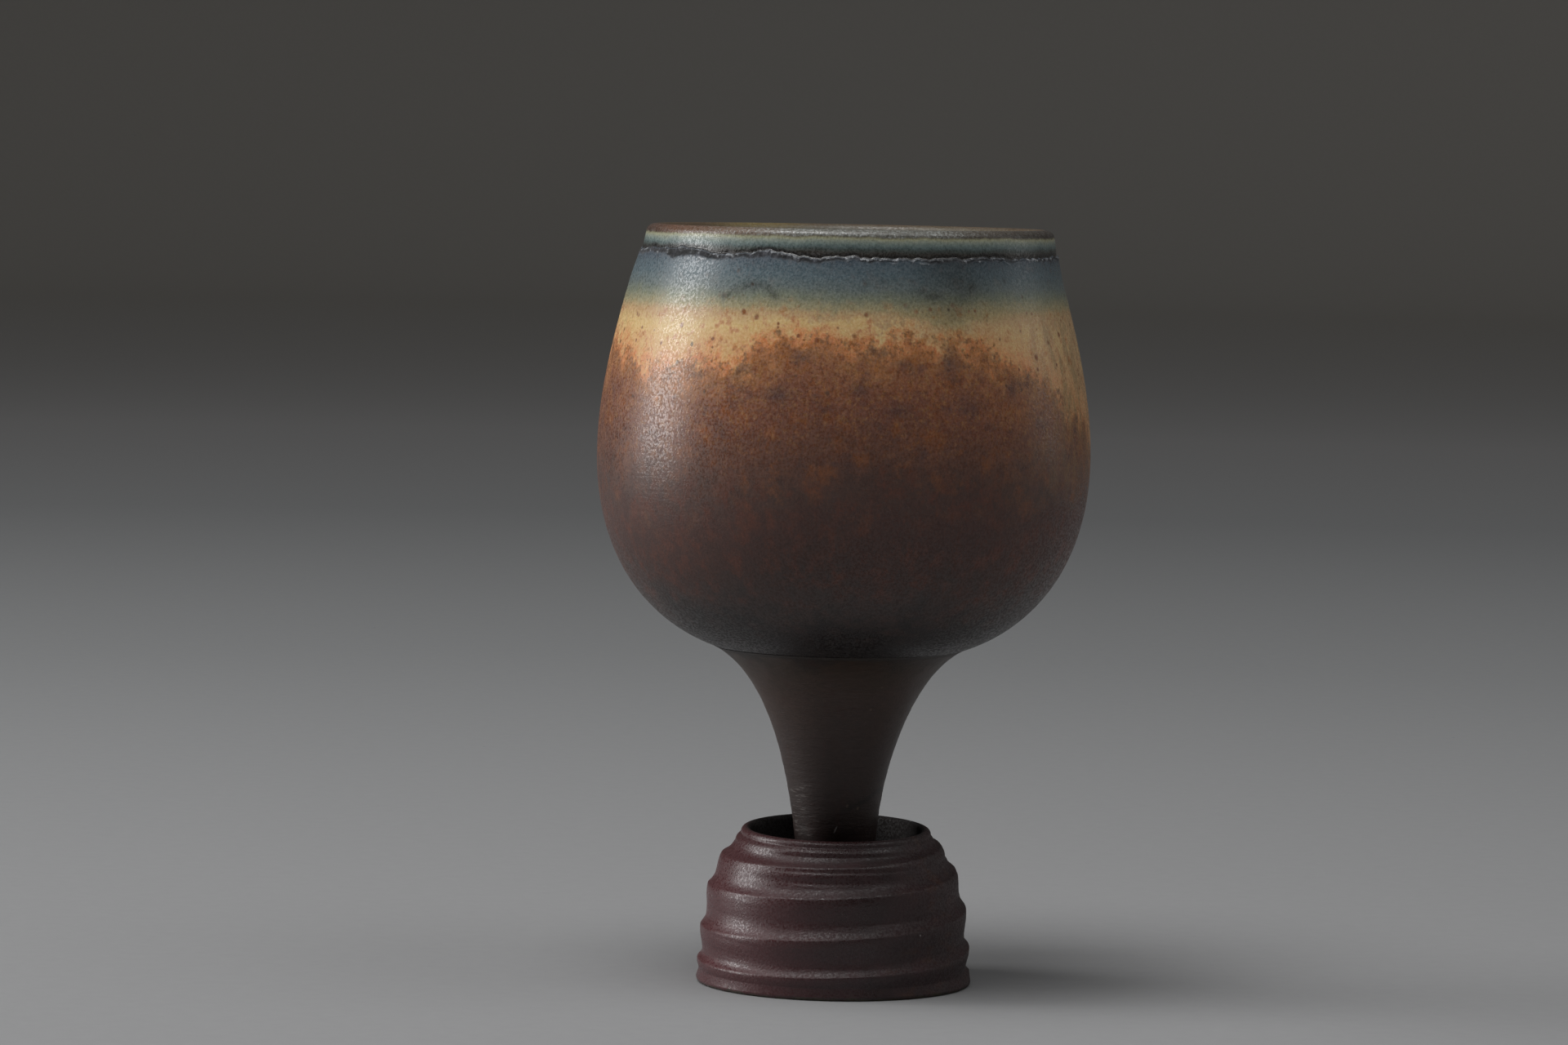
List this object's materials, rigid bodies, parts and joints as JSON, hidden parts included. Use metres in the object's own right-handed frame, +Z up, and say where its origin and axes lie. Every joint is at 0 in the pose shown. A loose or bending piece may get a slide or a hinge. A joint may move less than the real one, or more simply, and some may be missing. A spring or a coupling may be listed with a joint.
{
  "type": "footed vase",
  "caption": "Small thrown stoneware vase: rounded goblet bowl on a trumpet stem that stands in a ribbed, dished foot.",
  "frame": {"origin": "centre of the foot's ring, on the surface that the vase stands on", "axes": "+Z up along the axis of throwing, from the foot to the lip; -Y towards the front, the side that faces the camera in the picture; +X to the right"},
  "size_m": [0.0522, 0.0522, 0.08],
  "materials": {
    "bowl_glaze": "satin iron glaze shading from pale green collar and slate blue through ochre and rust to dark brown",
    "stem_glaze": "satin black-brown glaze",
    "foot_glaze": "satin maroon-brown glaze, bare clay on the ring it stands on",
    "slip": "thin dark glaze over luting slip"
  },
  "bodies": {
    "root": {"foot": "foot_glaze", "foot_slip": "slip", "stem": "stem_glaze", "bowl_slip": "slip", "bowl": "bowl_glaze"}
  },
  "joints": []
}
